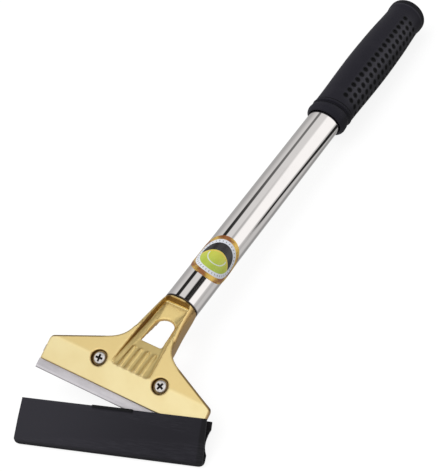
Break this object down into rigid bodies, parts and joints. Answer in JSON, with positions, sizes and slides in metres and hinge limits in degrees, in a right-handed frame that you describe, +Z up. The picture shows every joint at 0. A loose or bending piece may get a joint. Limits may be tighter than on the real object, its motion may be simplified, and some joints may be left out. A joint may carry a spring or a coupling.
{
  "type": "long-handled razor scraper",
  "caption": "Long-handled scraper with a wide clamped razor blade on a die-cast head, a plated steel tube, a rubber grip and a slip-on blade cover.",
  "frame": {"origin": "centre of the bounding box in plan, on the surface that the tool lies on", "axes": "+Y along the handle from the blade to the end of the grip, +X to the end of the blade that lies in the cover, +Z up with the screw side of the head uppermost"},
  "size_m": [0.1094, 0.3954, 0.0314],
  "materials": {
    "gold": "satin gold finish on a die casting",
    "blade_steel": "ground",
    "zinc": "bright zinc plated",
    "chrome": "polished",
    "rubber": "matte with dimples",
    "sticker": "printed film",
    "cover_plastic": "satin moulded"
  },
  "bodies": {
    "tool": {"head_casting": "gold", "handle_tube": "chrome", "tube_rivet": "zinc", "grip": "rubber", "sticker": "sticker"},
    "blade": {"blade": "blade_steel"},
    "clamp": {"clamp_plate": "zinc", "clinch_nut_left": "zinc", "clinch_nut_right": "zinc"},
    "screw_left": {"clamp_screw_left": "zinc"},
    "screw_right": {"clamp_screw_right": "zinc"},
    "cover": {"blade_cover": "cover_plastic"}
  },
  "joints": [
    {"name": "clamp_open", "type": "slide", "parent": "tool", "child": "clamp", "axis": [-0.1296, 0.4766, -0.8695], "range_m": [0, 0.0014]},
    {"name": "screw_left_turn", "type": "hinge", "parent": "tool", "child": "screw_left", "pos_m": [-0.02097, -0.14403, 0.02403], "axis": [0.1296, -0.4766, 0.8695], "range_deg": [0, 720]},
    {"name": "screw_right_turn", "type": "hinge", "parent": "tool", "child": "screw_right", "pos_m": [0.017, -0.1442, 0.01828], "axis": [0.1296, -0.4766, 0.8695], "range_deg": [0, 720]},
    {"name": "blade_slide", "type": "slide", "parent": "tool", "child": "blade", "axis": [-0.9887, 0.0043, 0.1498], "range_m": [0, 0.09]},
    {"name": "cover_swing", "type": "hinge", "parent": "tool", "child": "cover", "pos_m": [0.04723, -0.1531, 0.01245], "axis": [-0.1296, 0.4766, -0.8695], "range_deg": [0, 17.65]}
  ],
  "couplings": [
    {"joint": "screw_left_turn", "follows": "clamp_open", "rad_per_m": 8976},
    {"joint": "screw_right_turn", "follows": "clamp_open", "rad_per_m": 8976}
  ]
}
